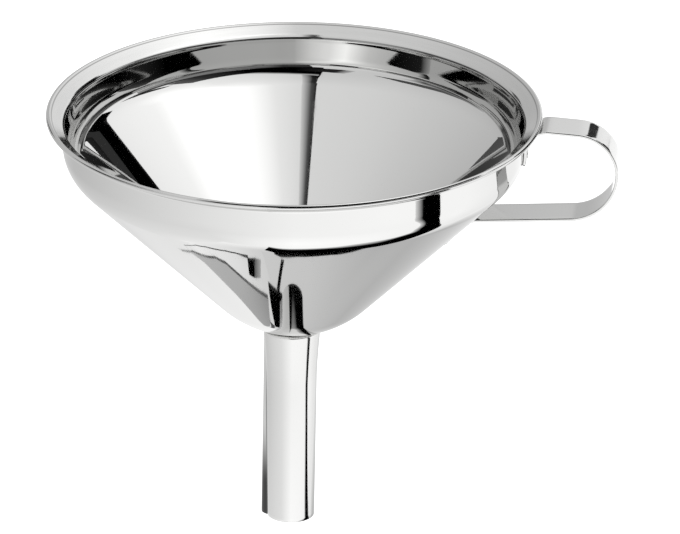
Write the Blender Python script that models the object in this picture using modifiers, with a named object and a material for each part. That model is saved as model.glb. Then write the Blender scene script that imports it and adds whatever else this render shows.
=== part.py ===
"""Liquid funnel in polished stainless steel: spun bowl, vented spout, strap handle and the welds that join them.

Metres, +Z up. The origin is on the bowl's axis, at the level where the spout's mouth meets the bowl's bottom.
The handle points along +X.
"""

import math

import bmesh
import bpy
from mathutils import Vector

MM = 0.001
GAP = 0.3 * MM  # clearance kept between pieces that are welded together

# Bowl: a spun sheet. Depths are measured down from the top of the rim.
RIM_HEIGHT = 56.65 * MM  # rim top above the origin
RIM_RADIUS = 60.0 * MM  # outside of the rolled edge
SHEET = 0.7 * MM
BEAD_RADIUS = 0.65 * MM  # the rolled edge
LIP_INNER_RADIUS = 56.0 * MM  # where the flared lip turns down into the collar
LIP_INNER_DEPTH = 2.42 * MM
COLLAR_RADIUS = 56.2 * MM  # outside of the upright collar, at its top
COLLAR_DEPTH = 7.9 * MM  # where the bend into the cone starts
COLLAR_TAPER = math.radians(1.4)
BEND_RADIUS = 10.0 * MM
CONE_ANGLE = math.radians(45.1)  # of the cone's side, from the axis
DISH_START_RADIUS = 19.0 * MM  # where the cone starts to round into the bottom
DISH_RADIUS = 29.0 * MM
HOLE_RADIUS = 6.5 * MM
BOWL_STEPS = 72

# Spout: a drawn tube with a bell mouth and a vent rib pressed out along one side.
SPOUT_TOP = -0.8 * MM
SPOUT_END = -50.0 * MM
SPOUT_WALL = 0.6 * MM
MOUTH_RADIUS = 7.05 * MM
TUBE_TOP_RADIUS = 6.32 * MM  # the plain taper, carried up to the mouth
TUBE_END_RADIUS = 5.82 * MM
BELL_LENGTH = 13.0 * MM
SPOUT_OFFSET = 0.6 * MM  # the tube sits this far from the bowl's axis, towards its rib
SPOUT_DRIFT = 0.35 * MM  # and this much more at its end
RIB_AZIMUTH = math.radians(171)
RIB_HALF_ANGLE = math.radians(23)
RIB_TOP_REACH = 6.9 * MM  # from the tube's axis to the crest
RIB_END_REACH = 7.4 * MM
SPOUT_SIDES = 64
SPOUT_RINGS = 14

# Handle: one strap bent into a loop, with a tab at each end.
STRAP_WIDTH = 10.2 * MM
STRAP_THICKNESS = 0.7 * MM
LOOP_REACH = 78.45 * MM  # outermost point of the round end, at the middle of the strap's thickness
LOOP_HEIGHT = 44.93 * MM  # of that point
UPPER_LOOP_RADIUS = 10.0 * MM  # of the round end above that point
LOWER_LOOP_RADIUS = 11.7 * MM  # and below it
UPPER_SLOPE = math.radians(-1.6)  # of the upper limb, which rises a little outwards
LOWER_SLOPE = math.radians(3.5)  # of the lower limb, which rises outwards too
UPPER_TAB_BEND = 4.0 * MM
UPPER_TAB_DEPTH = 9.8 * MM
LOWER_TAB_BEND = 2.5 * MM
LOWER_TAB_LENGTH = 9.0 * MM

# Welds: one ring round the spout's mouth, and two spots on each tab.
RING_HALF_HEIGHT = 0.3 * MM
RING_HALF_WIDTH = 0.36 * MM
SPOT_RADIUS = 1.0 * MM
SPOT_SPREAD = 5.0 * MM  # centre to centre, across the strap
SPOT_PROUD = 0.1 * MM
SPOT_ABOVE_END = 2.2 * MM  # of the upper tab

STEEL = (0.80, 0.80, 0.79, 1.0)


def clear_scene():
    for obj in list(bpy.data.objects):
        bpy.data.objects.remove(obj, do_unlink=True)


def make_collection(name, hidden=False):
    group = bpy.data.collections.new(name)
    bpy.context.scene.collection.children.link(group)
    group.hide_render = hidden
    return group


def steel(name, roughness):
    material = bpy.data.materials.new(name)
    material.use_nodes = True
    shader = material.node_tree.nodes["Principled BSDF"]
    shader.inputs["Base Color"].default_value = STEEL
    shader.inputs["Metallic"].default_value = 1.0
    shader.inputs["Roughness"].default_value = roughness
    return material


def add_object(name, mesh, group, material=None):
    obj = bpy.data.objects.new(name, mesh)
    group.objects.link(obj)
    if material is not None:
        mesh.materials.append(material)
        mesh.shade_smooth()
        mesh.set_sharp_from_angle(angle=math.radians(35))
    return obj


def arc(centre, radius, start, end, count):
    """Points on an arc in a plane, from one angle to another, both ends included."""
    step = (end - start) / (count - 1)
    angles = [start + step * i for i in range(count)]
    return [(centre[0] + radius * math.cos(a), centre[1] + radius * math.sin(a)) for a in angles]


def offset_inwards(points, distance):
    """The same outline moved to the right of its direction of travel, which is inwards on the way down."""
    moved = []
    for i, point in enumerate(points):
        before = Vector(points[max(i - 1, 0)])
        after = Vector(points[min(i + 1, len(points) - 1)])
        along = (after - before).normalized()
        moved.append((point[0] + along.y * distance, point[1] - along.x * distance))
    return moved


def bowl_wall():
    """(radius, height) down the outside of the wall, from under the lip to the hole's edge."""
    top = RIM_HEIGHT - LIP_INNER_DEPTH - SHEET
    bend_top = RIM_HEIGHT - COLLAR_DEPTH
    bend_radius_at = COLLAR_RADIUS - (top - bend_top) * math.tan(COLLAR_TAPER)
    bend_centre = (
        bend_radius_at - BEND_RADIUS * math.cos(COLLAR_TAPER),
        bend_top + BEND_RADIUS * math.sin(COLLAR_TAPER),
    )
    points = [(COLLAR_RADIUS, top)]
    points += arc(bend_centre, BEND_RADIUS, -COLLAR_TAPER, -CONE_ANGLE, 7)
    cone_radius, cone_height = points[-1]
    dish_height = cone_height - (cone_radius - DISH_START_RADIUS) / math.tan(CONE_ANGLE)
    middle = ((cone_radius + DISH_START_RADIUS) / 2, (cone_height + dish_height) / 2)
    dish_centre = (
        DISH_START_RADIUS - DISH_RADIUS * math.cos(CONE_ANGLE),
        dish_height + DISH_RADIUS * math.sin(CONE_ANGLE),
    )
    hole_angle = -math.acos((HOLE_RADIUS - dish_centre[0]) / DISH_RADIUS)
    return points + [middle] + arc(dish_centre, DISH_RADIUS, -CONE_ANGLE, hole_angle, 7)


def bowl_profile():
    """The sheet's closed section: down the outside, across the hole's edge, up the inside and over the rolled edge."""
    outside = bowl_wall()
    inside = offset_inwards(outside, SHEET)[1:]
    inside[-1] = (HOLE_RADIUS, inside[-1][1])
    bead_centre = (RIM_RADIUS - BEAD_RADIUS, RIM_HEIGHT - BEAD_RADIUS)
    lip_edge = (LIP_INNER_RADIUS, RIM_HEIGHT - LIP_INNER_DEPTH)
    lip_angle = math.atan2(bead_centre[1] - lip_edge[1], bead_centre[0] - lip_edge[0])
    bead = arc(bead_centre, BEAD_RADIUS, lip_angle + math.radians(100), lip_angle - math.radians(110), 8)
    collar_top_inside = (COLLAR_RADIUS - SHEET, RIM_HEIGHT - LIP_INNER_DEPTH - SHEET)
    return outside + inside[::-1] + [collar_top_inside, lip_edge] + bead


def profile_mesh(name, points):
    """A closed outline in the XZ plane, as edges."""
    mesh = bpy.data.meshes.new(name)
    edges = [(i, (i + 1) % len(points)) for i in range(len(points))]
    mesh.from_pydata([(r, 0.0, z) for r, z in points], edges, [])
    return mesh


def turned(name, points, steps, group, material):
    """A closed section turned round the Z axis through the object's own origin."""
    obj = add_object(name, profile_mesh(name, points), group, material)
    screw = obj.modifiers.new("turn", "SCREW")
    screw.axis = "Z"
    screw.angle = math.tau
    screw.steps = steps
    screw.render_steps = steps
    screw.use_merge_vertices = True
    screw.merge_threshold = 0.01 * MM
    screw.use_smooth_shade = True
    return obj


def funnel_bowl(group):
    return turned("funnel_bowl", bowl_profile(), BOWL_STEPS, group, steel("bowl_steel", 0.06))


def spout_share(height):
    """0 at the spout's top and 1 at its end."""
    return (SPOUT_TOP - height) / (SPOUT_TOP - SPOUT_END)


def tube_radius(height):
    plain = TUBE_TOP_RADIUS + (TUBE_END_RADIUS - TUBE_TOP_RADIUS) * spout_share(height)
    bell = max(0.0, 1.0 - (SPOUT_TOP - height) / BELL_LENGTH) ** 1.5
    return plain + (MOUTH_RADIUS - TUBE_TOP_RADIUS) * bell


def spout_point(height, azimuth, inset):
    """A point of the spout's outer surface at that height and azimuth, or inset into its wall."""
    radius = tube_radius(height)
    reach = RIB_TOP_REACH + (RIB_END_REACH - RIB_TOP_REACH) * spout_share(height)
    turn = (azimuth - RIB_AZIMUTH + math.pi) % math.tau - math.pi
    if abs(turn) < RIB_HALF_ANGLE:
        swell = math.cos(turn / RIB_HALF_ANGLE * math.pi / 2)
        radius += max(0.0, reach - radius) * swell
    radius -= inset
    centre = -SPOUT_OFFSET - SPOUT_DRIFT * spout_share(height)
    return (centre + radius * math.cos(azimuth), radius * math.sin(azimuth), height)


def spout_heights():
    """Ring heights, closer together in the bell mouth."""
    shares = [(i / (SPOUT_RINGS - 1)) ** 1.4 for i in range(SPOUT_RINGS)]
    return [SPOUT_TOP + (SPOUT_END - SPOUT_TOP) * share for share in shares]


def spout_tube(group):
    """A loft from the round mouth to the keyhole-shaped end: outer rings down, then inner rings up."""
    heights = spout_heights()
    rings = [(height, 0.0) for height in heights] + [(height, SPOUT_WALL) for height in reversed(heights)]
    azimuths = [RIB_AZIMUTH + math.tau * i / SPOUT_SIDES for i in range(SPOUT_SIDES)]
    work = bmesh.new()
    loops = [[work.verts.new(spout_point(height, a, inset)) for a in azimuths] for height, inset in rings]
    for i, loop in enumerate(loops):
        following = loops[(i + 1) % len(loops)]
        for j in range(SPOUT_SIDES):
            k = (j + 1) % SPOUT_SIDES
            work.faces.new((loop[j], following[j], following[k], loop[k]))
    bmesh.ops.recalc_face_normals(work, faces=work.faces)
    mesh = bpy.data.meshes.new("spout_tube")
    work.to_mesh(mesh)
    work.free()
    return add_object("spout_tube", mesh, group, steel("spout_steel", 0.08))


def cone_point(height):
    """Radius of the bowl's outer cone at a height."""
    wall = bowl_wall()
    for (r0, z0), (r1, z1) in zip(wall, wall[1:]):
        if z1 <= height <= z0:
            return r0 + (r1 - r0) * (z0 - height) / (z0 - z1)
    raise ValueError("height is off the bowl")


def strap_path():
    """(x, z) along the middle of the strap, from the upper tab's lower end, round the loop, to the lower tab's end."""
    half = STRAP_THICKNESS / 2
    upper_x = COLLAR_RADIUS + GAP + half
    bend_x = upper_x + UPPER_TAB_BEND
    loop_start = math.pi / 2 - UPPER_SLOPE
    upper_loop = arc((LOOP_REACH - UPPER_LOOP_RADIUS, LOOP_HEIGHT), UPPER_LOOP_RADIUS, loop_start, 0.0, 10)
    loop_end = -math.pi / 2 + LOWER_SLOPE
    lower_loop = arc((LOOP_REACH - LOWER_LOOP_RADIUS, LOOP_HEIGHT), LOWER_LOOP_RADIUS, 0.0, loop_end, 10)
    limb_height = upper_loop[0][1] + (upper_loop[0][0] - bend_x) * math.tan(UPPER_SLOPE)
    upper_bend = (bend_x, limb_height - UPPER_TAB_BEND / math.cos(UPPER_SLOPE))
    points = [(upper_x, RIM_HEIGHT - UPPER_TAB_DEPTH)]
    points += arc(upper_bend, UPPER_TAB_BEND, math.pi, loop_start, 7)
    points += upper_loop + lower_loop[1:]
    return points + lower_tab(points[-1])


def lower_tab(limb_end):
    """The lower limb's run to the cone, its bend and the tab that lies on the cone."""
    slope = Vector((math.sin(CONE_ANGLE), math.cos(CONE_ANGLE)))  # up along the cone's side
    outwards = Vector((math.cos(CONE_ANGLE), -math.sin(CONE_ANGLE)))
    height = limb_end[1]
    surface = Vector((cone_point(height), height)) + outwards * (GAP + STRAP_THICKNESS / 2)
    limb = Vector((-math.cos(LOWER_SLOPE), -math.sin(LOWER_SLOPE)))
    start = Vector(limb_end)
    # The limb's line meets the tab's line here.
    offset = surface - start
    reach = (offset.x * slope.y - offset.y * slope.x) / (limb.x * slope.y - limb.y * slope.x)
    corner = start + limb * reach
    turn = limb.angle(-slope)
    setback = LOWER_TAB_BEND * math.tan(turn / 2)
    bend_start = corner - limb * setback
    centre = bend_start + Vector((limb.y, -limb.x)) * -LOWER_TAB_BEND
    first = math.atan2(bend_start.y - centre.y, bend_start.x - centre.x)
    bend = arc(centre, LOWER_TAB_BEND, first, first + turn, 5)
    end = corner - slope * LOWER_TAB_LENGTH
    return bend + [(end.x, end.y)]


def ribbon(name, path, width, group, material):
    """A flat strip along the path in the XZ plane, centred on Y = 0, as an open surface."""
    mesh = bpy.data.meshes.new(name)
    sides = [(x, y, z) for x, z in path for y in (-width / 2, width / 2)]
    faces = [(2 * i, 2 * i + 1, 2 * i + 3, 2 * i + 2) for i in range(len(path) - 1)]
    mesh.from_pydata(sides, [], faces)
    return add_object(name, mesh, group, material)


def spot_places():
    """(name, centre on the bowl's surface, outward direction, shift across the strap) of each spot weld."""
    upper_height = RIM_HEIGHT - UPPER_TAB_DEPTH + SPOT_ABOVE_END
    path = strap_path()
    tab_end = Vector((path[-1][0], path[-1][1]))
    tab_start = Vector((path[-2][0], path[-2][1]))
    lower = (tab_end + tab_start) / 2
    outwards = Vector((math.cos(CONE_ANGLE), -math.sin(CONE_ANGLE)))
    upper = Vector((path[0][0], upper_height))
    places = []
    for level, centre, direction in (("upper", upper, Vector((1.0, 0.0))), ("lower", lower, outwards)):
        for side, sign in (("front", -1), ("rear", 1)):
            places.append((level + "_spot_weld_" + side, centre, direction, sign * SPOT_SPREAD / 2))
    return places


def disc(name, centre, direction, across, radius, half_height, group, material=None):
    """A short cylinder whose axis lies along the direction in the XZ plane."""
    work = bmesh.new()
    bmesh.ops.create_cone(
        work, cap_ends=True, segments=20, radius1=radius, radius2=radius, depth=2 * half_height
    )
    mesh = bpy.data.meshes.new(name)
    work.to_mesh(mesh)
    work.free()
    obj = add_object(name, mesh, group, material)
    obj.location = (centre.x, across, centre.y)
    obj.rotation_mode = "QUATERNION"
    obj.rotation_quaternion = Vector((direction.x, 0.0, direction.y)).to_track_quat("Z", "Y")
    return obj


def handle_strap(group, cutters):
    """The bent strap, with a clearance hole round each spot weld."""
    strap = ribbon("handle_strap", strap_path(), STRAP_WIDTH, group, steel("strap_steel", 0.12))
    thickness = strap.modifiers.new("thickness", "SOLIDIFY")
    thickness.thickness = STRAP_THICKNESS
    thickness.offset = 0.0
    thickness.use_even_offset = True
    for name, centre, direction, across in spot_places():
        cutter = disc(name + "_hole", centre, direction, across, SPOT_RADIUS + GAP, STRAP_THICKNESS, cutters)
        cutter.hide_render = True
        cutter.display_type = "WIRE"
        hole = strap.modifiers.new(name, "BOOLEAN")
        hole.operation = "DIFFERENCE"
        hole.object = cutter
    return strap


def spot_welds(group):
    """A round nugget in each hole of the tabs, standing a little proud of the strap."""
    weld = steel("weld_metal", 0.3)
    for name, centre, direction, across in spot_places():
        half_height = (STRAP_THICKNESS + SPOT_PROUD) / 2
        middle = centre + direction * (SPOT_PROUD / 2)
        disc(name, middle, direction, across, SPOT_RADIUS, half_height, group, weld)


def spout_weld_ring(group):
    """The bead between the hole's edge and the spout's mouth."""
    centre = (MOUTH_RADIUS - RING_HALF_WIDTH, SPOUT_TOP + GAP + RING_HALF_HEIGHT)
    section = []
    for i in range(10):
        angle = math.pi / 2 - math.tau * i / 10
        section.append(
            (centre[0] + RING_HALF_WIDTH * math.cos(angle), centre[1] + RING_HALF_HEIGHT * math.sin(angle))
        )
    ring = turned("spout_weld_ring", section, BOWL_STEPS, group, steel("weld_metal_ring", 0.25))
    ring.location.x = -SPOUT_OFFSET
    return ring


def main():
    clear_scene()
    group = make_collection("liquid_funnel")
    cutters = make_collection("liquid_funnel_cutters", hidden=True)
    funnel_bowl(group)
    spout_tube(group)
    spout_weld_ring(group)
    handle_strap(group, cutters)
    spot_welds(group)


main()
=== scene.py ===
"""Looks of the liquid funnel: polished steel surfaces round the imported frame, in a plain studio."""

import math

import bmesh
import bpy
import numpy as np
from mathutils import Matrix, Vector


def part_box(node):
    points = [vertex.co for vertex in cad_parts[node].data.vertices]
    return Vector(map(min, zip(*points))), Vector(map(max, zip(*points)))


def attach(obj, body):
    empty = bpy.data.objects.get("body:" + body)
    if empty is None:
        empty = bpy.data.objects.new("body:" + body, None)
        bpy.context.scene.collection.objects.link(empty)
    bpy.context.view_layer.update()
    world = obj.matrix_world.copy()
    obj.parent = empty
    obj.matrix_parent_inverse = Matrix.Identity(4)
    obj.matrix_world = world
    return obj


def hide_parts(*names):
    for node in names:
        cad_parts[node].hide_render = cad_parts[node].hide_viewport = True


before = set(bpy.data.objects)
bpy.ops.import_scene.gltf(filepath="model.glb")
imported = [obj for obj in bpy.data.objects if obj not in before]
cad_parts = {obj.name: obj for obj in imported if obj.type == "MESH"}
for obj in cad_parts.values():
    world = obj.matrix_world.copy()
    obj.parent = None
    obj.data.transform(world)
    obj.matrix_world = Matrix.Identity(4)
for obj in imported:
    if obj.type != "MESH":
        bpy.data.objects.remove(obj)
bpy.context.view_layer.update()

MM = 0.001
STRAP_LOW, STRAP_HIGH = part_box("handle_strap")

# Bowl: depths are measured down from the top of the rim, as in the CAD model.
RIM_TOP = 56.65 * MM
RIM_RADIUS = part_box("funnel_bowl")[1].x
SHEET = 0.7 * MM
BEAD_RADIUS = 0.65 * MM
LIP_INNER_RADIUS = 56.0 * MM
LIP_INNER_DEPTH = 2.42 * MM
LIP_EDGE_ROUNDING = 1.7 * MM
LIP_OVERLAP = SHEET * 0.8  # how far the lip's top face runs in before its rounding
UNDER_LIP_OUT = 0.35 * MM  # the small bend where the wall turns out under the lip
UNDER_LIP_UP = 0.1 * MM
COLLAR_RADIUS = 56.2 * MM
COLLAR_DEPTH = 7.9 * MM
COLLAR_TAPER = math.radians(1.4)
BEND_RADIUS = 10.0 * MM
CONE_ANGLE = math.radians(45.1)
DISH_START_RADIUS = 19.0 * MM
DISH_RADIUS = 29.0 * MM
HOLE_RADIUS = 6.3 * MM
SHADE_LINE_RADIUS = RIM_RADIUS - 1.35 * MM  # the painted dark line of crease shade beside the rolled edge
BOWL_STEPS = 240

# Spout.
SPOUT_TOP = 0.15 * MM
SPOUT_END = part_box("spout_tube")[0].z
SPOUT_WALL = 0.6 * MM
SPOUT_EDGE = ((0.1 * MM, 0.0), (0.03 * MM, 0.03 * MM), (0.0, 0.12 * MM))  # (up, in) round its end
MOUTH_RADIUS = 7.05 * MM
TUBE_TOP_RADIUS = 6.32 * MM
TUBE_END_RADIUS = 5.82 * MM
BELL_LENGTH = 13.0 * MM
SPOUT_OFFSET = 0.6 * MM
SPOUT_DRIFT = 0.35 * MM
RIB_AZIMUTH = math.radians(171)
RIB_HALF_ANGLE = math.radians(23)
RIB_TOP_REACH = 6.9 * MM
RIB_END_REACH = 7.4 * MM
SPOUT_SIDES = 192
SPOUT_RINGS = 60

# Handle.
STRAP_WIDTH = STRAP_HIGH.y - STRAP_LOW.y
STRAP_THICKNESS = 0.7 * MM
STRAP_EDGE = 0.22 * MM
STRAP_GAP = 0.02 * MM
LOOP_REACH = 78.45 * MM
LOOP_HEIGHT = 44.93 * MM
UPPER_LOOP_RADIUS = 10.14 * MM
LOWER_LOOP_RADIUS = 11.7 * MM
UPPER_SLOPE = math.radians(3.7)
LOWER_SLOPE = math.radians(3.5)
UPPER_TAB_DEPTH = 9.8 * MM
UPPER_TAB_TOP = 5.2 * MM
BEND_PULLS = (1.7 * MM, 2.9 * MM)  # how far the upper bend leaves the tab and the limb straight
LIMB_START = 61.8 * MM
LOWER_TAB_BEND = 2.5 * MM
LOWER_TAB_LENGTH = 9.0 * MM
WRAP_FADE = 2.5 * MM  # how far off the wall the strap's curve across dies out

# Welds.
FILLET_RADIUS = 0.34 * MM
FILLET_OUT = 0.12 * MM
FILLET_HEIGHT = 0.1 * MM
WELD_RIPPLES = 46
# A spot weld's print, as (radius, height over the tab) in millimetres: hollow, raised rim, underside.
PRINT_PROFILE = ((0.0, 0.012), (0.45, 0.006), (0.75, -0.01), (0.88, 0.05), (0.98, 0.07), (1.08, 0.045))
PRINT_PROFILE += ((1.16, -0.03), (1.1, -0.12), (0.6, -0.15), (0.0, -0.15))
PRINT_STEPS = 48

# Steel.
BRIGHT_STEEL = (0.56, 0.56, 0.555)
WELD_STEEL = (0.48, 0.48, 0.47)
# Colour of the painted shade and dark reflection beside the spout's rib.
RIB_SHADE_PAINT = (0.03, 0.03, 0.03)
LIP_ROUGHNESS = 0.07
LIP_GREY = 0.93
# how dark the painted crease shade is, at the lip's inner edge and beside the rolled edge
CREASE_SHADE_GREY = 0.5

# Studio: cloths and cards stand round the funnel and only show in its steel.
CLOTH_LIGHT = 1.46
FLOOR_LIGHT = 1.05
WORLD_LIGHT = 1.4
TENT_RADIUS = 0.8
TABLE_HEIGHT = -120.0 * MM
TENT_FOOT = math.degrees(math.asin(TABLE_HEIGHT / TENT_RADIUS))
NEAR_CARD_HEIGHT = 100.0 * MM
STRAP_FLAG_BEHIND = 200.0
LAYER = 0.1 * MM

# Camera: it looks at a point beside and below the rim's middle, and is rolled slightly.
CAMERA_AZIMUTH = math.radians(6.0)
CAMERA_ELEVATION = math.radians(21.87)
CAMERA_ROLL = math.radians(0.14)
CAMERA_DISTANCE = 2.0
VIEW_WIDTH = 164.1 * MM
AIM_RIGHT = 11.0 * MM
AIM_DOWN = 37.63 * MM


def arc(centre, radius, start, end, count):
    """Points on an arc in a plane, from one angle to another, both ends included."""
    step = (end - start) / (count - 1)
    angles = [start + step * i for i in range(count)]
    return [(centre[0] + radius * math.cos(a), centre[1] + radius * math.sin(a)) for a in angles]


def line(start, end, count):
    """Points along a straight run, without its two ends."""
    shares = [(i + 1) / (count + 1) for i in range(count)]
    return [(start[0] + (end[0] - start[0]) * t, start[1] + (end[1] - start[1]) * t) for t in shares]


def offset_inwards(points, distance):
    """The same outline moved to the right of its direction of travel, which is inwards on the way down."""
    moved = []
    for i, point in enumerate(points):
        before = Vector(points[max(i - 1, 0)])
        after = Vector(points[min(i + 1, len(points) - 1)])
        along = (after - before).normalized()
        moved.append((point[0] + along.y * distance, point[1] - along.x * distance))
    return moved


def bowl_wall():
    """(radius, height) down the outside of the wall, from under the lip to the hole's edge."""
    top = RIM_TOP - LIP_INNER_DEPTH - SHEET
    bend_top = RIM_TOP - COLLAR_DEPTH
    bend_radius_at = COLLAR_RADIUS - (top - bend_top) * math.tan(COLLAR_TAPER)
    bend_centre = (
        bend_radius_at - BEND_RADIUS * math.cos(COLLAR_TAPER),
        bend_top + BEND_RADIUS * math.sin(COLLAR_TAPER),
    )
    bend = arc(bend_centre, BEND_RADIUS, -COLLAR_TAPER, -CONE_ANGLE, 28)
    cone_radius, cone_height = bend[-1]
    dish_height = cone_height - (cone_radius - DISH_START_RADIUS) / math.tan(CONE_ANGLE)
    dish_centre = (
        DISH_START_RADIUS - DISH_RADIUS * math.cos(CONE_ANGLE),
        dish_height + DISH_RADIUS * math.sin(CONE_ANGLE),
    )
    hole_angle = -math.acos((HOLE_RADIUS - dish_centre[0]) / DISH_RADIUS)
    start = (COLLAR_RADIUS, top)
    cone_end = (DISH_START_RADIUS, dish_height)
    points = [start] + line(start, bend[0], 8) + bend + line(bend[-1], cone_end, 16)
    return points + arc(dish_centre, DISH_RADIUS, -CONE_ANGLE, hole_angle, 24)


def rounded_corner(before, corner, after, radius, count):
    """An arc that rounds a corner between two straight runs."""
    corner = Vector(corner)
    u = (Vector(before) - corner).normalized()
    v = (Vector(after) - corner).normalized()
    half = u.angle(v) / 2
    setback = radius / math.tan(half)
    centre = corner + (u + v).normalized() * (radius / math.sin(half))
    start = corner + u * setback
    end = corner + v * setback
    first = math.atan2(start.y - centre.y, start.x - centre.x)
    last = math.atan2(end.y - centre.y, end.x - centre.x)
    turn = (last - first + math.pi) % math.tau - math.pi
    return arc(centre, radius, first, first + turn, count)


def bowl_section():
    """The sheet's closed section: down the outside, up the inside, over the lip and round the rolled edge."""
    outside = bowl_wall()
    inside = offset_inwards(outside, SHEET)
    bead_centre = (RIM_RADIUS - BEAD_RADIUS, RIM_TOP - BEAD_RADIUS)
    collar_inside = inside[4]
    lip_edge = (LIP_INNER_RADIUS - LIP_OVERLAP, RIM_TOP - LIP_INNER_DEPTH)
    lip_angle = math.atan2(bead_centre[1] - lip_edge[1], bead_centre[0] - lip_edge[0])
    bead = arc(bead_centre, BEAD_RADIUS, lip_angle + math.radians(90), lip_angle - math.radians(150), 32)
    lip = rounded_corner(collar_inside, lip_edge, bead[0], LIP_EDGE_ROUNDING, 16)
    lip_run = line(lip[-1], bead[0], 8)
    under_start = (outside[0][0] + UNDER_LIP_OUT, outside[0][1] + UNDER_LIP_UP)
    under = line(bead[-1], under_start, 6)
    inner_run = [p for p in inside[::-1] if p[1] < lip[0][1] - 0.1 * MM]
    return outside + inner_run + lip + lip_run + bead + under


def turned(name, section, steps):
    """A closed section turned round the Z axis."""
    count = len(section)
    radii = np.array([p[0] for p in section])
    heights = np.array([p[1] for p in section])
    angles = np.arange(steps) * math.tau / steps
    points = np.empty((steps, count, 3))
    points[..., 0] = np.outer(np.cos(angles), radii)
    points[..., 1] = np.outer(np.sin(angles), radii)
    points[..., 2] = heights
    return grid_mesh(name, points, close_rows=True, close_columns=True)


def grid_mesh(name, points, close_rows, close_columns):
    """A mesh over a grid of points, rows by columns, with the faces of a tube where it closes."""
    rows, columns = points.shape[:2]
    index = np.arange(rows * columns).reshape(rows, columns)
    right = np.roll(index, -1, axis=1)
    below = np.roll(index, -1, axis=0)
    corner = np.roll(right, -1, axis=0)
    faces = np.stack([index, below, corner, right], axis=-1)
    faces = faces[: None if close_rows else -1, : None if close_columns else -1]
    mesh = bpy.data.meshes.new(name)
    mesh.from_pydata(points.reshape(-1, 3).tolist(), [], faces.reshape(-1, 4).tolist())
    work = bmesh.new()
    work.from_mesh(mesh)
    bmesh.ops.recalc_face_normals(work, faces=work.faces)
    work.to_mesh(mesh)
    work.free()
    mesh.shade_smooth()
    obj = bpy.data.objects.new(name, mesh)
    bpy.context.scene.collection.objects.link(obj)
    return obj


def spout_share(height):
    return min(1.0, (SPOUT_TOP - height) / (SPOUT_TOP - SPOUT_END))


def tube_radius(height):
    plain = TUBE_TOP_RADIUS + (TUBE_END_RADIUS - TUBE_TOP_RADIUS) * spout_share(height)
    bell = max(0.0, 1.0 - (SPOUT_TOP - height) / BELL_LENGTH) ** 1.5
    return plain + (MOUTH_RADIUS - TUBE_TOP_RADIUS) * bell


def spout_point(height, azimuth, inset):
    """A point of the spout's outer surface at that height and azimuth, or inset into its wall."""
    radius = tube_radius(height)
    reach = RIB_TOP_REACH + (RIB_END_REACH - RIB_TOP_REACH) * spout_share(height)
    turn = (azimuth - RIB_AZIMUTH + math.pi) % math.tau - math.pi
    if abs(turn) < RIB_HALF_ANGLE:
        swell = math.cos(turn / RIB_HALF_ANGLE * math.pi / 2)
        radius += max(0.0, reach - radius) * swell
    radius -= inset
    centre = -SPOUT_OFFSET - SPOUT_DRIFT * spout_share(height)
    return (centre + radius * math.cos(azimuth), radius * math.sin(azimuth), height)


def spout_tube():
    shares = [i / (SPOUT_RINGS - 1) for i in range(SPOUT_RINGS)]
    lowest = SPOUT_END + SPOUT_EDGE[0][0]
    heights = [SPOUT_TOP + (lowest - SPOUT_TOP) * share for share in shares]
    rings = [(height, 0.0) for height in heights]
    rings += [(SPOUT_END + up, inset) for up, inset in SPOUT_EDGE[1:]]
    rings += [(SPOUT_END, SPOUT_WALL - SPOUT_EDGE[-1][1])]
    rings += [(height, SPOUT_WALL) for height in reversed(heights)]
    azimuths = [RIB_AZIMUTH + math.tau * i / SPOUT_SIDES for i in range(SPOUT_SIDES)]
    points = np.array([[spout_point(height, a, inset) for a in azimuths] for height, inset in rings])
    return grid_mesh("spout_shell", points, close_rows=True, close_columns=True)


def wall_radius(height):
    """Radius of the bowl's outside at a height."""
    wall = bowl_wall()
    for (r0, z0), (r1, z1) in zip(wall, wall[1:]):
        if z1 <= height <= z0:
            return r0 + (r1 - r0) * (z0 - height) / (z0 - z1)
    raise ValueError("height is off the bowl")


def smooth_bend(start, start_pull, end, end_pull, count):
    """A curve from one point to another, pulled towards one given point near each end."""
    points = []
    for i in range(count):
        t = i / (count - 1)
        weights = ((1 - t) ** 3, 3 * t * (1 - t) ** 2, 3 * t * t * (1 - t), t**3)
        ends = (start, start_pull, end_pull, end)
        points.append(tuple(sum(w * e[k] for w, e in zip(weights, ends)) for k in (0, 1)))
    return points


def strap_path():
    """(x, z) along the middle of the strap, from the upper tab's end round the loop to the lower tab's."""
    stand_off = STRAP_GAP + STRAP_THICKNESS / 2
    tab_low = RIM_TOP - UPPER_TAB_DEPTH
    tab_high = RIM_TOP - UPPER_TAB_TOP
    tab_heights = [tab_low + (tab_high - tab_low) * i / 8 for i in range(9)]
    tab = [(wall_radius(height) + stand_off, height) for height in tab_heights]
    loop_start = math.pi / 2 - UPPER_SLOPE
    upper_loop = arc((LOOP_REACH - UPPER_LOOP_RADIUS, LOOP_HEIGHT), UPPER_LOOP_RADIUS, loop_start, 0.0, 36)
    loop_end = -math.pi / 2 + LOWER_SLOPE
    lower_loop = arc((LOOP_REACH - LOWER_LOOP_RADIUS, LOOP_HEIGHT), LOWER_LOOP_RADIUS, 0.0, loop_end, 36)
    fall = math.tan(UPPER_SLOPE)
    limb_start = (LIMB_START, upper_loop[0][1] + (upper_loop[0][0] - LIMB_START) * fall)
    start_pull = (tab[-1][0], tab[-1][1] + BEND_PULLS[0])
    end_pull = (limb_start[0] - BEND_PULLS[1], limb_start[1])
    bend = smooth_bend(tab[-1], start_pull, limb_start, end_pull, 30)
    points = tab + bend[1:] + line(limb_start, upper_loop[0], 6) + upper_loop + lower_loop[1:]
    return points + lower_tab(points[-1])


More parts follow.
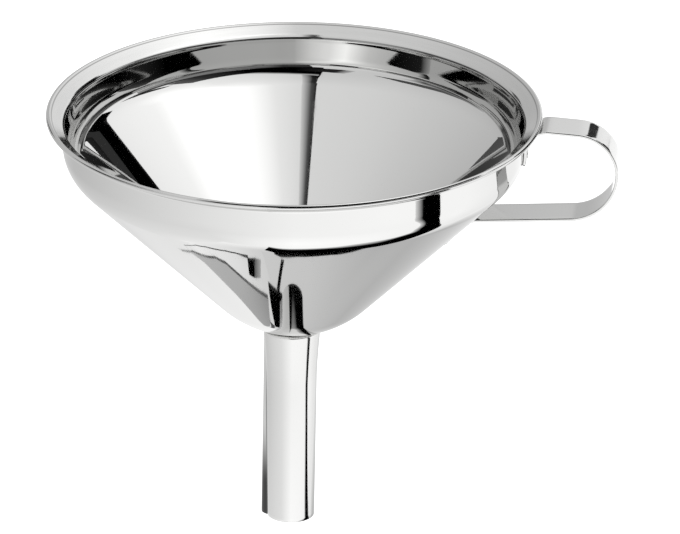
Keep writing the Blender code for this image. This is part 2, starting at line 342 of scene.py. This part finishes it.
def lower_tab(limb_end):
    """The lower limb's run to the cone, its bend and the tab that lies on the cone."""
    slope = Vector((math.sin(CONE_ANGLE), math.cos(CONE_ANGLE)))
    outwards = Vector((math.cos(CONE_ANGLE), -math.sin(CONE_ANGLE)))
    height = limb_end[1]
    surface = Vector((wall_radius(height), height)) + outwards * (STRAP_GAP + STRAP_THICKNESS / 2)
    limb = Vector((-math.cos(LOWER_SLOPE), -math.sin(LOWER_SLOPE)))
    start = Vector(limb_end)
    offset = surface - start
    reach = (offset.x * slope.y - offset.y * slope.x) / (limb.x * slope.y - limb.y * slope.x)
    corner = start + limb * reach
    turn = limb.angle(-slope)
    setback = LOWER_TAB_BEND * math.tan(turn / 2)
    bend_start = corner - limb * setback
    centre = bend_start + Vector((limb.y, -limb.x)) * -LOWER_TAB_BEND
    first = math.atan2(bend_start.y - centre.y, bend_start.x - centre.x)
    bend = arc(centre, LOWER_TAB_BEND, first, first + turn, 14)
    end = corner - slope * LOWER_TAB_LENGTH
    return line(limb_end, bend[0], 12) + bend + line(bend[-1], (end.x, end.y), 8) + [(end.x, end.y)]


def strap_outline():
    """(across, through) round the strap's own section, a flat oblong with rounded edges."""
    half_width = STRAP_WIDTH / 2 - STRAP_EDGE
    half_thick = STRAP_THICKNESS / 2 - STRAP_EDGE
    outline = []
    for sign_y, sign_n, start in ((1, 1, 0.0), (-1, 1, 90.0), (-1, -1, 180.0), (1, -1, 270.0)):
        corner = (sign_y * half_width, sign_n * half_thick)
        outline += arc(corner, STRAP_EDGE, math.radians(start), math.radians(start + 90), 5)
        if sign_y * sign_n > 0:
            across = [half_width * sign_y * (1 - 2 * (i + 1) / 8) for i in range(7)]
            outline += [(y, sign_n * STRAP_THICKNESS / 2) for y in across]
    return outline


def wrap_share(point):
    """How closely the strap follows the bowl's round wall there: 1 on the tabs, 0 from the limbs on."""
    beside_wall = point.y < RIM_TOP - UPPER_TAB_TOP
    off_wall = point.x - (wall_radius(point.y) if beside_wall else COLLAR_RADIUS)
    return max(0.0, 1.0 - max(0.0, off_wall - STRAP_THICKNESS) / WRAP_FADE)


def handle_strap():
    path = [Vector(p) for p in strap_path()]
    outline = strap_outline()
    rows = []
    for i, point in enumerate(path):
        along = (path[min(i + 1, len(path) - 1)] - path[max(i - 1, 0)]).normalized()
        normal = Vector((-along.y, along.x))
        share = wrap_share(point)
        row = []
        for y, n in outline:
            sagitta = point.x - math.sqrt(point.x**2 - y**2)
            row.append((point.x + normal.x * n - sagitta * share, y, point.y + normal.y * n))
        rows.append(row)
    obj = grid_mesh("strap_loop", np.array(rows), close_rows=False, close_columns=True)
    work = bmesh.new()
    work.from_mesh(obj.data)
    bmesh.ops.holes_fill(work, edges=[e for e in work.edges if e.is_boundary])
    bmesh.ops.recalc_face_normals(work, faces=work.faces)
    work.to_mesh(obj.data)
    work.free()
    return obj


def weld_fillet():
    """The ring of weld metal between the spout's mouth and the bowl, with the bead's faint ripple."""
    steps, sides = 240, 16
    points = np.empty((steps, sides, 3))
    for i in range(steps):
        azimuth = math.tau * i / steps
        ripple = 1.0 + 0.05 * math.sin(azimuth * WELD_RIPPLES) + 0.04 * math.sin(azimuth * 5 + 1.0)
        for k in range(sides):
            around = math.tau * k / sides
            radius = MOUTH_RADIUS + FILLET_OUT + FILLET_RADIUS * ripple * math.cos(around)
            height = FILLET_HEIGHT + FILLET_RADIUS * ripple * math.sin(around)
            points[i, k] = (-SPOUT_OFFSET + radius * math.cos(azimuth), radius * math.sin(azimuth), height)
    return grid_mesh("weld_fillet", points, close_rows=True, close_columns=True)


def spot_dimple(node):
    """A spot weld as it looks from outside: a shallow round print with a raised rim, on the tab's face."""
    low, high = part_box(node)
    centre = (low + high) / 2
    on_tab = node.startswith("upper")
    outward = Vector((1, 0, 0)) if on_tab else Vector((math.cos(CONE_ANGLE), 0, -math.sin(CONE_ANGLE)))
    wall = wall_radius(centre.z)
    across = Vector((0, 1, 0))
    along = outward.cross(across)
    face = STRAP_GAP + STRAP_THICKNESS
    sagitta = wall - math.sqrt(wall**2 - centre.y**2)
    seat = Vector((wall - sagitta, centre.y, centre.z)) + outward * face
    points = np.empty((PRINT_STEPS, len(PRINT_PROFILE), 3))
    for i in range(PRINT_STEPS):
        turn = math.tau * i / PRINT_STEPS
        for k, (radius, lift) in enumerate(PRINT_PROFILE):
            spot = seat + (across * math.cos(turn) + along * math.sin(turn)) * max(radius, 0.001) * MM
            points[i, k] = spot + outward * lift * MM
    return grid_mesh(node.replace("spot_weld", "weld_print"), points, close_rows=True, close_columns=True)


class Shader:
    """A material's node tree, with short ways to add the nodes used here."""

    def __init__(self, name):
        self.material = bpy.data.materials.new(name)
        self.material.use_nodes = True
        self.tree = self.material.node_tree
        self.surface = self.tree.nodes["Principled BSDF"]

    def node(self, kind, **settings):
        node = self.tree.nodes.new(kind)
        for key, value in settings.items():
            setattr(node, key, value)
        return node

    def link(self, source, target):
        self.tree.links.new(source, target)

    def math(self, operation, first, second=None, third=None):
        node = self.node("ShaderNodeMath", operation=operation)
        for socket, value in zip(node.inputs, (first, second, third)):
            if value is None:
                continue
            if isinstance(value, (int, float)):
                socket.default_value = value
            else:
                self.link(value, socket)
        return node.outputs[0]

    def times(self, first, second):
        return self.math("MULTIPLY", first, second)

    def place(self):
        """x, y and z of the surface point, its angle round the Z axis and its distance from it."""
        split = self.node("ShaderNodeSeparateXYZ")
        self.link(self.node("ShaderNodeTexCoord").outputs["Object"], split.inputs[0])
        x, y, z = split.outputs
        turn = self.math("ARCTAN2", y, x)
        radius = self.math("SQRT", self.math("ADD", self.times(x, x), self.times(y, y)))
        return x, y, z, turn, radius

    def band(self, value, low, high, soft):
        """1 where the value is between two numbers, and 0 beyond them, with edges that wide."""
        above = self.spread(value, low - soft, low, 0.0, 1.0)
        below = self.spread(value, high, high + soft, 1.0, 0.0)
        return self.times(above, below)

    def spread(self, value, low, high, to_low, to_high):
        """Follows the value smoothly from to_low to to_high as it goes from low to high."""
        node = self.node("ShaderNodeMapRange", interpolation_type="SMOOTHSTEP")
        self.link(value, node.inputs["Value"])
        for key, number in zip(("From Min", "From Max", "To Min", "To Max"), (low, high, to_low, to_high)):
            node.inputs[key].default_value = number
        return node.outputs["Result"]

    def noise(self, x, y, z, detail=3.0, roughness=0.6):
        joined = self.node("ShaderNodeCombineXYZ")
        for socket, value in zip(joined.inputs, (x, y, z)):
            if isinstance(value, (int, float)):
                socket.default_value = value
            else:
                self.link(value, socket)
        node = self.node("ShaderNodeTexNoise")
        node.inputs["Scale"].default_value = 1.0
        node.inputs["Detail"].default_value = detail
        node.inputs["Roughness"].default_value = roughness
        self.link(joined.outputs[0], node.inputs["Vector"])
        return node.outputs["Fac"]


def grain(shader, along, x, y, z, turn, radius):
    """Hairlines along one direction, and sparser scratches across them.

    along is "turn" for sheet spun about the Z axis, "fall" for lines that run up and down, "x" for a strap.
    The noise scales are per metre, or per radian of the turn: small along the lines, large across them.
    """
    times = shader.times
    if along == "turn":
        slide = shader.math("SUBTRACT", times(radius, 9000.0), times(z, 9000.0))
        fine = shader.noise(times(turn, 6.0), slide, 0.0)
        cross = shader.noise(times(turn, 900.0), times(z, 120.0), 4.0)
    elif along == "fall":
        fine = shader.noise(times(turn, 90.0), times(z, 60.0), 0.0)
        cross = shader.noise(times(turn, 8.0), times(z, 5000.0), 4.0)
    else:
        rise = times(z, 150.0)
        fine = shader.noise(times(x, 150.0), times(y, 6000.0), rise)
        cross = shader.noise(times(x, 1500.0), times(y, 200.0), rise)
    return fine, shader.spread(cross, 0.62, 0.72, 0.0, 1.0)


def lip_satin_and_shade(shader, z, turn, radius):
    """Where the lip is, and its tone: streaky satin, with painted shade along its inner crease and a painted
    dark line of crease shade beside the rolled edge.
    """
    edge = RIM_TOP - LIP_INNER_DEPTH
    on_lip = shader.spread(z, edge - 0.5 * MM, edge + 0.1 * MM, 0.0, 1.0)
    streaks = shader.noise(shader.times(turn, 3.0), shader.times(radius, 900.0), 8.0)
    satin = shader.math("MULTIPLY_ADD", streaks, 0.12, LIP_GREY - 0.06)
    grey = shader.node("ShaderNodeMix", data_type="FLOAT")
    shader.link(on_lip, grey.inputs["Factor"])
    grey.inputs["A"].default_value = 1.0
    shader.link(satin, grey.inputs["B"])
    # Painted shade: a dark band in the crease at the lip's inner edge, and a fine dark line beside the rolled
    # edge.
    inside = shader.spread(radius, COLLAR_RADIUS - 0.2 * MM, COLLAR_RADIUS, 1.0, 0.0)
    crease = shader.times(shader.band(z, edge - 0.5 * MM, edge - 0.2 * MM, 0.13 * MM), inside)
    on_shade_line = shader.band(radius, SHADE_LINE_RADIUS - 0.06 * MM, SHADE_LINE_RADIUS + 0.06 * MM, 0.14 * MM)
    dark = shader.math("MAXIMUM", crease, shader.times(on_shade_line, on_lip))
    return on_lip, shader.times(grey.outputs[0], shader.math("MULTIPLY_ADD", dark, CREASE_SHADE_GREY - 1.0, 1.0))


def rib_painted_shade(shader, z, turn):
    """How much painted shade and dark reflection the spout gets beside its rib, and on the rib's flanks
    towards the lower end.
    """
    past_rib = shader.math("WRAP", shader.math("SUBTRACT", turn, RIB_AZIMUTH), math.pi, -math.pi)
    from_rib = shader.math("ABSOLUTE", past_rib)
    from_edge = shader.math("ABSOLUTE", shader.math("SUBTRACT", from_rib, RIB_HALF_ANGLE))
    # Painted shade and dark reflection: in the crease along the rib's edges, and on its flanks low down.
    crease = shader.spread(from_edge, 0.03, 0.08, 0.75, 0.0)
    flank = shader.times(
        shader.spread(from_rib, RIB_HALF_ANGLE * 0.2, RIB_HALF_ANGLE * 0.45, 0.0, 1.0),
        shader.spread(from_rib, RIB_HALF_ANGLE * 0.95, RIB_HALF_ANGLE * 1.05, 1.0, 0.0),
    )
    low_down = shader.spread(z, SPOUT_END + 8.0 * MM, SPOUT_END + 26.0 * MM, 0.97, 0.0)
    painted_rib_dark = shader.math("MAXIMUM", crease, shader.times(flank, low_down))
    return shader.times(painted_rib_dark, shader.spread(z, -20.0 * MM, -8.0 * MM, 1.0, 0.0))


def steel(name, colour, polish, along, grain_depth, lip=False, rib=False):
    """Polished steel with its grain and faint smears, and the bowl's lip finish with painted crease shade, or
    painted shade and dark reflection beside the spout's rib.

    polish is the roughness where the sheet is cleanest: the lower, the sharper the reflections.
    """
    shader = Shader(name)
    surface = shader.surface
    surface.inputs["Base Color"].default_value = (*colour, 1.0)
    surface.inputs["Metallic"].default_value = 1.0
    x, y, z, turn, radius = shader.place()
    fine, scratches = grain(shader, along, x, y, z, turn, radius)
    smear = shader.noise(shader.times(x, 45.0), shader.times(y, 45.0), shader.times(z, 70.0), 4.0)
    haze = shader.spread(smear, 0.35, 0.75, polish, polish * 2.2)
    rough = shader.math("MULTIPLY_ADD", scratches, 0.03, haze)
    if lip or rib:
        tint = shader.node("ShaderNodeMix", data_type="RGBA")
        tint.inputs["A"].default_value = (*colour, 1.0)
        shader.link(tint.outputs["Result"], surface.inputs["Base Color"])
    # The lip's satin tone, with its painted crease shade.
    if lip:
        on_lip, shade = lip_satin_and_shade(shader, z, turn, radius)
        rough = shader.math("MULTIPLY_ADD", on_lip, LIP_ROUGHNESS, rough)
        tint.blend_type = "MULTIPLY"
        tint.inputs["Factor"].default_value = 1.0
        shader.link(shade, tint.inputs["B"])
    # Painted shade and dark reflection beside the rib and on its flanks.
    if rib:
        tint.inputs["B"].default_value = (*RIB_SHADE_PAINT, 1.0)
        shader.link(rib_painted_shade(shader, z, turn), tint.inputs["Factor"])
    shader.link(rough, surface.inputs["Roughness"])
    bump = shader.node("ShaderNodeBump")
    bump.inputs["Strength"].default_value = grain_depth
    bump.inputs["Distance"].default_value = 0.01 * MM
    shader.link(shader.math("MULTIPLY_ADD", scratches, -0.5, fine), bump.inputs["Height"])
    shader.link(bump.outputs["Normal"], surface.inputs["Normal"])
    return shader.material


def tent_point(azimuth, elevation):
    """A point of the light tent, a dome round the funnel, by degrees to the camera's right and degrees up."""
    a = math.radians(azimuth) + CAMERA_AZIMUTH
    e = math.radians(elevation)
    return Vector((math.sin(a) * math.cos(e), -math.cos(a) * math.cos(e), math.sin(e))) * TENT_RADIUS


def inside_tent(share):
    """tent_point, moved inwards to that share of the tent's radius."""
    return lambda azimuth, elevation: tent_point(azimuth, elevation) * share


def table_point(right, near, height=TABLE_HEIGHT):
    """A point of the table, or above it, by millimetres to the camera's right and towards the camera."""
    a = CAMERA_AZIMUTH
    x = right * math.cos(a) + near * math.sin(a)
    y = right * math.sin(a) - near * math.cos(a)
    return Vector((x * MM, y * MM, height))


def table_ring(azimuth, distance, height=TABLE_HEIGHT):
    """The same point by its direction from the camera's side, in degrees, and its distance in millimetres."""
    a = math.radians(azimuth)
    return table_point(math.sin(a) * distance, math.cos(a) * distance, height)


def above_rim(right, near):
    return table_point(right, near, NEAR_CARD_HEIGHT)


def above_rim_ring(azimuth, distance):
    return table_ring(azimuth, distance, NEAR_CARD_HEIGHT)


def behind_strap(right, height):
    return table_point(right, -STRAP_FLAG_BEHIND, height * MM)


def even_rows(columns, rows):
    """Rows of (column, row, brightness) over shared columns, from each row's coordinate and brightnesses."""
    return [[(column, row, shade) for column, shade in zip(columns, shades)] for row, shades in rows]


def rows_of(columns):
    """The same grid as rows, where a card is easier to read column by column."""
    return list(zip(*columns))


def strip(edge, width):
    """A narrow card along an edge of (right, near, brightness) on the table."""
    return [edge, [(right, near + width, shade) for right, near, shade in edge]]


def finer(grid, axis, fineness):
    """The grid with that many steps between its lines along one axis."""
    count = grid.shape[axis]
    marks = np.linspace(0, count - 1, (count - 1) * fineness + 1)
    low = np.minimum(marks.astype(int), count - 2)
    share = (marks - low).reshape([-1 if i == axis else 1 for i in range(3)])
    return np.take(grid, low, axis) * (1 - share) + np.take(grid, low + 1, axis) * share


def lit_cloth(name, rows, place, layer=0, fineness=8):
    """A cloth or card that only reflections see, stretched over rows of (coordinate, coordinate, brightness).

    place turns two coordinates into a point. layer counts the cloths that lie under this one on the table.
    """
    grid = finer(finer(np.array(rows, dtype=float), 0, fineness), 1, fineness)
    points = np.array([[tuple(place(c[0], c[1])) for c in row] for row in grid])
    points[..., 2] += layer * LAYER
    obj = grid_mesh(name, points, close_rows=False, close_columns=False)
    shade = obj.data.color_attributes.new("shade", "FLOAT_COLOR", "POINT")
    for item, value in zip(shade.data, grid[..., 2].reshape(-1) * CLOTH_LIGHT):
        item.color = (value, value, value, 1.0)
    material = bpy.data.materials.new(name)
    material.use_nodes = True
    nodes = material.node_tree.nodes
    nodes.remove(nodes["Principled BSDF"])
    emission = nodes.new("ShaderNodeEmission")
    attribute = nodes.new("ShaderNodeVertexColor")
    attribute.layer_name = "shade"
    material.node_tree.links.new(attribute.outputs["Color"], emission.inputs["Color"])
    material.node_tree.links.new(emission.outputs[0], nodes["Material Output"].inputs["Surface"])
    obj.data.materials.append(material)
    obj.visible_camera = False
    obj.visible_diffuse = False
    obj.visible_shadow = False


def add_tent():
    """A white tent lit from the right and darker on the left, down to the table all round."""
    left = even_rows(
        (-180, -150, -115, -60, -14),
        (
            (TENT_FOOT, (0.50, 0.52, 0.58, 0.70, 0.90)),
            (0, (0.50, 0.52, 0.58, 0.70, 0.90)),
            (16, (0.48, 0.50, 0.56, 0.61, 0.72)),
            (30, (0.52, 0.55, 0.60, 0.66, 0.68)),
            (50, (0.62, 0.62, 0.66, 0.72, 0.72)),
            (70, (0.75, 0.72, 0.76, 0.78, 0.80)),
            (90, (0.80, 0.80, 0.80, 0.80, 0.80)),
        ),
    )
    right = even_rows(
        (-14, 20, 50, 80, 105, 140, 168, 174, 180),
        (
            (TENT_FOOT, (0.9, 0.35, 0.3, 0.3, 1.1, 1.0, 0.75, 0.5, 0.5)),
            (0, (0.9, 0.35, 0.3, 0.3, 1.1, 1.0, 0.75, 0.5, 0.5)),
            (16, (0.7, 0.8, 0.9, 1.0, 0.95, 0.95, 0.74, 0.5, 0.48)),
            (30, (0.7, 0.82, 0.94, 1.05, 1.03, 0.95, 0.76, 0.7, 0.52)),
            (50, (0.7, 0.88, 1.0, 1.5, 1.1, 1.05, 0.8, 0.75, 0.62)),
            (70, (0.8, 0.95, 1.3, 2.1, 1.5, 1.25, 0.9, 0.85, 0.75)),
            (90, (0.8, 0.9, 1.1, 1.3, 1.2, 1.0, 0.9, 0.85, 0.8)),
        ),
    )
    lit_cloth("tent_left", left, tent_point)
    lit_cloth("tent_right", right, tent_point)


def add_front_openings():
    """The tent's black slit, and the camera's opening beside it with the dark room below."""
    slit = (
        ((-15, 15, 0.0), (-9, 15, 0.0), (-5, 15, 0.0)),
        ((-15, 38, 0.0), (-9.5, 38, 0.0), (-4, 38, 0.5)),
        ((-15, 50, 0.01), (-11.5, 50, 0.02), (-5, 50, 0.6)),
        ((-17, 62, 0.01), (-13, 62, 0.04), (-6, 62, 0.65)),
        ((-25, 75, 0.02), (-19, 75, 0.1), (-8, 75, 0.7)),
        ((-50, 84, 0.04), (-40, 84, 0.12), (-20, 84, 0.8)),
    )
    opening = (
        ((-14, 16.5, 0.0), (-14, 36, 0.0), (-14, 41, 0.5)),
        ((0, 16, 0.0), (0, 34.5, 0.0), (0, 39, 0.6)),
        ((15, 16, 0.0), (10, 32, 0.0), (12, 36.5, 0.7)),
        ((30, 16, 0.01), (26, 26, 0.0), (30, 30, 0.8)),
        ((45, 15.5, 0.02), (44, 19.5, 0.02), (48, 22.5, 0.9)),
        ((65, 15, 0.02), (65, 17.5, 0.04), (67, 19.5, 0.9)),
        ((90, 15, 0.04), (92, 17.5, 0.1), (94, 19.5, 0.95)),
    )
    low_right = [
        [(-7, -8, 0.06), (6, -8, 0.06), (12, -8, 0.2), (50, -8, 0.25), (88, -8, 0.3)],
        [(-7, 6, 0.06), (6, 6, 0.06), (12, 6, 0.2), (50, 6, 0.25), (88, 6, 0.3)],
        [(-10, 16.5, 0.02), (6, 16, 0.02), (15, 16, 0.08), (50, 15.5, 0.2), (88, 15, 0.3)],
    ]
    lit_cloth("slit", rows_of(slit), inside_tent(0.99))
    lit_cloth("opening", rows_of(opening), inside_tent(0.985))
    lit_cloth("low_right", low_right, inside_tent(0.99))


def add_side_cards():
    """The dark cards low in the tent's left side and back, and the doorway at its back right."""
    low_left = (
        ((-114, 5, 0.3), (-114, 13, 0.45), (-114, 17, 0.65)),
        ((-105, 5, 0.1), (-105, 13, 0.12), (-105, 17, 0.62)),
        ((-88, 5, 0.05), (-88, 13, 0.05), (-88, 17, 0.5)),
        ((-74, 5, 0.15), (-74, 13, 0.12), (-74, 17, 0.4)),
        ((-70, 5, 0.03), (-70, 13, 0.08), (-70, 17, 0.42)),
        ((-67, 5, 0.5), (-62, 13, 0.45), (-52, 17, 0.66)),
    )
    doorway = [
        [(118, 4, 0.0), (128, 4, 0.0), (138, 4, 0.0), (146, 4, 0.0)],
        [(117, 12, 0.0), (127, 12, 0.0), (137, 12, 0.01), (145, 13, 0.02)],
        [(110, 20, 0.0), (122, 20, 0.0), (134, 20, 0.0), (143, 19, 0.02)],
        [(119, 24, 0.02), (127, 28, 0.0), (137, 28, 0.0), (146, 26, 0.02)],
        [(127, 32, 0.03), (130, 34, 0.0), (136, 32, 0.0), (143, 29, 0.02)],
    ]
    back_card = [[(-151, 9, 0.09), (-138.5, 9, 0.07)], [(-150, 23.5, 0.09), (-139.5, 22.6, 0.07)]]
    lit_cloth("low_left", rows_of(low_left), inside_tent(0.98))
    lit_cloth("doorway", doorway, inside_tent(0.975))
    lit_cloth("back_card", back_card, inside_tent(0.97), fineness=2)


def add_near_cards():
    """Dark cards just above the rim, outside everything but the light that has bounced inside the bowl."""
    shades = (0.5, 0.02, 0.0, 0.0, 0.03, 0.12)
    front = even_rows((-36, -28, 0, 30, 60, 78), [(distance, shades) for distance in (67, 110, 165)])
    left = [
        [(-240, -75, 0.16), (-200, -48, 0.12), (-150, -12, 0.1), (-107, 6, 0.08), (-85, 25, 0.07)],
        [(-240, 10, 0.12), (-200, 25, 0.08), (-150, 45, 0.06), (-107, 60, 0.05), (-85, 70, 0.05)],
    ]
    right = [
        [(112, 5, 0.02), (150, -20, 0.02), (200, -50, 0.03), (240, -75, 0.03)],
        [(112, 20, 0.02), (150, 13, 0.02), (200, -4, 0.02), (240, -22, 0.02)],
    ]
    lit_cloth("front_card", front, above_rim_ring)
    lit_cloth("left_card", left, above_rim)
    lit_cloth("right_card", right, above_rim)


def add_table():
    """The lit white table."""
    rings = even_rows(
        [-180 + 45 * i for i in range(9)],
        (
            (0.0, (1.1,) * 9),
            (120.0, (0.9, 0.78, 0.84, 0.90, 1.2, 1.15, 1.0, 0.8, 0.9)),
            (230.0, (0.60, 0.62, 0.75, 0.85, 1.08, 1.1, 1.1, 0.85, 0.95)),
            (420.0, (0.50, 0.52, 0.70, 0.88, 1.06, 1.12, 1.1, 0.92, 0.96)),
            (1100.0, (0.48, 0.50, 0.68, 0.88, 1.05, 1.1, 1.1, 0.95, 0.96)),
        ),
    )
    lit_cloth("table_top", rings, table_ring)


def add_table_gap():
    """The dark gap across the table, which draws the line under the collar. It bends away at the right."""
    columns = (
        ((-24, 24), (-25, 66), (-27, 78), 1.0),
        ((-18, 3), (-19, 54), (-20, 68), 0.9),
        ((-13.5, -16), (-14, 46), (-14, 60), 0.85),
        ((-9.5, -17.5), (-10, 41), (-10, 57), 0.8),
        ((-4, -17), (-4, 37), (-4, 56), 0.8),
        ((2, -16.5), (2, 37), (2, 56), 0.8),
        ((11, -17.5), (11, 37), (11, 56), 0.8),
        ((18, -19), (18, 37), (18, 56), 0.8),
        ((24, -21), (24, 37), (24, 56), 0.8),
        ((31, -24.5), (31, 36), (31, 56), 0.85),
        ((38, -28), (39, 32), (42, 57), 0.85),
        ((57, -38), (57, 26), (57, 60), 0.8),
        ((75, -38), (75, 20), (74, 56), 0.8),
        ((103, -28), (103, 30), (101, 42), 0.8),
        ((136, -22), (130, 28), (126, 40), 0.8),
        ((150, -13), (141, 33), (136, 46), 0.8),
        ((166, 5), (156, 45), (150, 57), 0.8),
        ((183, 20), (173, 53), (166, 65), 0.8),
        ((205, 35), (193, 66), (187, 78), 0.8),
        ((237, 56), (216, 84), (210, 97), 0.8),
        ((286, 78), (278, 134), (266, 156), 0.8),
        ((330, 96), (322, 164), (310, 188), 0.8),
        ((395, 121), (376, 192), (362, 220), 0.8),
        ((560, 205), (550, 292), (540, 320), 0.8),
    )
    gap = [[(*back, 0.0), (*front, 0.0), (*past, shade)] for back, front, past, shade in columns]
    lit_cloth("table_gap", rows_of(gap), table_point, layer=4)


def add_grey_sheet():
    """The grey sheet behind the gap, and the soft shadow along its left edge."""
    sheet = [
        [(6, -400, 0.72), (40, -400, 0.74), (110, -400, 0.8), (190, -400, 0.9)],
        [(6, -180, 0.60), (40, -180, 0.50), (100, -180, 0.58), (180, -180, 0.9)],
        [(6, -80, 0.56), (40, -80, 0.46), (105, -80, 0.46), (165, -80, 1.0)],
        [(-14, -40, 0.64), (14, -38, 0.60), (60, -46, 0.46), (150, -40, 1.0)],
        [(-24, -12, 0.66), (10, -12, 0.64), (60, -18, 0.48), (150, -18, 1.05)],
    ]
    soft_edge = [
        [(-76, -62, 0.95), (-60, -62, 0.88), (-45, -62, 0.80), (-28, -62, 0.72), (-12, -62, 0.66)],
        [(-76, -35, 0.95), (-52, -35, 0.85), (-38, -35, 0.80), (-24, -35, 0.71), (-12, -35, 0.67)],
        [(-76, -12, 0.95), (-52, -12, 0.85), (-38, -12, 0.79), (-26, -12, 0.71), (-14, -12, 0.67)],
        [(-76, 20, 0.97), (-52, 20, 0.87), (-38, 20, 0.80), (-26, 20, 0.74), (-20, 20, 0.72)],
        [(-76, 45, 1.0), (-52, 45, 0.95), (-38, 45, 0.91), (-28, 45, 0.88), (-22, 45, 0.86)],
        [(-76, 70, 1.06), (-52, 70, 1.05), (-38, 70, 1.04), (-28, 70, 1.03), (-20, 70, 1.02)],
    ]
    lit_cloth("soft_edge", soft_edge, table_point, layer=1)
    lit_cloth("grey_sheet", sheet, table_point, layer=2)


def add_left_cards():
    """Small grey and black cards on the table, left of the spout, that the cone's left side reflects."""
    wedge = (
        ((-74, -92, 0.6), (-72, -88, 0.5)),
        ((-69, -76, 0.5), (-66, -70, 0.48)),
        ((-61, -67.5, 0.47), (-53.5, -50, 0.47)),
        ((-52, -64.5, 0.45), (-47.5, -44.5, 0.46)),
        ((-47, -62.5, 0.44), (-38, -41, 0.45)),
        ((-30, -60, 0.38), (-22, -35, 0.3)),
    )
    wedge_edge = [(right, near, 0.08) for _, (right, near, _) in wedge]
    upper_line = [(-70, -74, 0.12), (-64, -57.5, 0.1), (-58, -48, 0.08), (-52, -41.5, 0.05)]
    upper_line += [(-46, -35.5, 0.02), (-39.5, -31, 0.05), (-31.5, -27, 0.05)]
    lit_cloth("left_wedge", rows_of(wedge), table_point, layer=3)
    lit_cloth("left_line", strip(wedge_edge, 1.6), table_point, layer=5)
    lit_cloth("upper_line", strip(upper_line, 1.5), table_point, layer=5)
    for name, far, near in (
        ("left_streak", [(-26, -60, 0.1), (-22, -60, 0.1)], [(-26, -46, 0.1), (-22, -46, 0.1)]),
        ("left_blob", [(-22, -46, 0.0), (-8, -46, 0.0)], [(-20, -28, 0.0), (-10, -28, 0.0)]),
        ("left_square", [(-33, -34, 0.0), (-29.5, -32.5, 0.0)], [(-32, -27, 0.0), (-27, -24, 0.0)]),
        ("left_square_side", [(-29.5, -32.5, 0.1), (-25, -29.5, 0.4)], [(-27, -24, 0.1), (-23, -22.5, 0.4)]),
        ("left_stroke", [(-14, -28, 0.0), (-12, -28, 0.0)], [(-9, -18, 0.0), (-7, -18, 0.0)]),
    ):
        lit_cloth(name, [far, near], table_point, layer=6, fineness=2)


def add_strap_flag():
    """A small black card behind the handle, which the top of the loop reflects."""
    card = even_rows((127, 161), [(height, (0.03, 0.03)) for height in (104, 175)])
    lit_cloth("strap_flag", card, behind_strap, fineness=1)


def add_floor():
    """The pale floor that the camera sees behind and under the funnel."""
    bpy.ops.mesh.primitive_plane_add(size=40.0, location=(0, 0, TABLE_HEIGHT - 0.5 * MM))
    floor = bpy.context.object
    floor.name = "floor"
    material = bpy.data.materials.new("floor")
    material.use_nodes = True
    surface = material.node_tree.nodes["Principled BSDF"]
    surface.inputs["Base Color"].default_value = (0.3, 0.3, 0.3, 1.0)
    surface.inputs["Roughness"].default_value = 0.9
    surface.inputs["Specular IOR Level"].default_value = 0.0
    surface.inputs["Emission Color"].default_value = (1.0, 1.0, 1.0, 1.0)
    surface.inputs["Emission Strength"].default_value = FLOOR_LIGHT
    floor.data.materials.append(material)


def add_world():
    """White light from all round, which the steel shows past the cloths' edges."""
    world = bpy.data.worlds.new("world")
    bpy.context.scene.world = world
    world.use_nodes = True
    background = world.node_tree.nodes["Background"]
    background.inputs["Color"].default_value = (1, 1, 1, 1)
    background.inputs["Strength"].default_value = WORLD_LIGHT


def add_camera():
    back = Vector(
        (
            math.sin(CAMERA_AZIMUTH) * math.cos(CAMERA_ELEVATION),
            -math.cos(CAMERA_AZIMUTH) * math.cos(CAMERA_ELEVATION),
            math.sin(CAMERA_ELEVATION),
        )
    )
    right = Vector((0.0, 0.0, 1.0)).cross(back).normalized()
    up = back.cross(right)
    rim_centre = Vector((0.0, 0.0, RIM_TOP))
    place = rim_centre + back * CAMERA_DISTANCE
    aim = rim_centre + right * AIM_RIGHT - up * AIM_DOWN
    data = bpy.data.cameras.new("camera")
    data.sensor_width = 36.0
    data.lens = data.sensor_width * CAMERA_DISTANCE / VIEW_WIDTH
    camera = bpy.data.objects.new("camera", data)
    camera.location = place
    camera.rotation_mode = "QUATERNION"
    roll = Matrix.Rotation(CAMERA_ROLL, 3, "Z").to_quaternion()
    camera.rotation_quaternion = (place - aim).to_track_quat("Z", "Y") @ roll
    bpy.context.scene.collection.objects.link(camera)
    bpy.context.scene.camera = camera


spot_welds = [f"{tab}_spot_weld_{side}" for tab in ("upper", "lower") for side in ("front", "rear")]
finishes = {
    "bowl_steel": steel("bowl_steel", BRIGHT_STEEL, polish=0.02, along="turn", grain_depth=0.05, lip=True),
    "spout_steel": steel("spout_steel", BRIGHT_STEEL, polish=0.05, along="fall", grain_depth=0.08, rib=True),
    "strap_steel": steel("strap_steel", BRIGHT_STEEL, polish=0.05, along="x", grain_depth=0.10),
    "weld_metal": steel("weld_metal", WELD_STEEL, polish=0.12, along="fall", grain_depth=0.10),
}
bowl = turned("bowl_shell", bowl_section(), BOWL_STEPS)
dressed = [
    (bowl, "funnel_bowl", "bowl_steel"),
    (spout_tube(), "spout_tube", "spout_steel"),
    (handle_strap(), "handle_strap", "strap_steel"),
    (weld_fillet(), "spout_weld_ring", "weld_metal"),
]
dressed += [(spot_dimple(node), node, "weld_metal") for node in spot_welds]
for piece, node, slot in dressed:
    piece.data.materials.append(finishes[slot])
    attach(piece, "root")
    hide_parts(node)

add_tent()
add_front_openings()
add_side_cards()
add_near_cards()
add_table()
add_table_gap()
add_grey_sheet()
add_left_cards()
add_strap_flag()
add_floor()
add_world()
add_camera()
bpy.context.scene.view_settings.view_transform = "Standard"
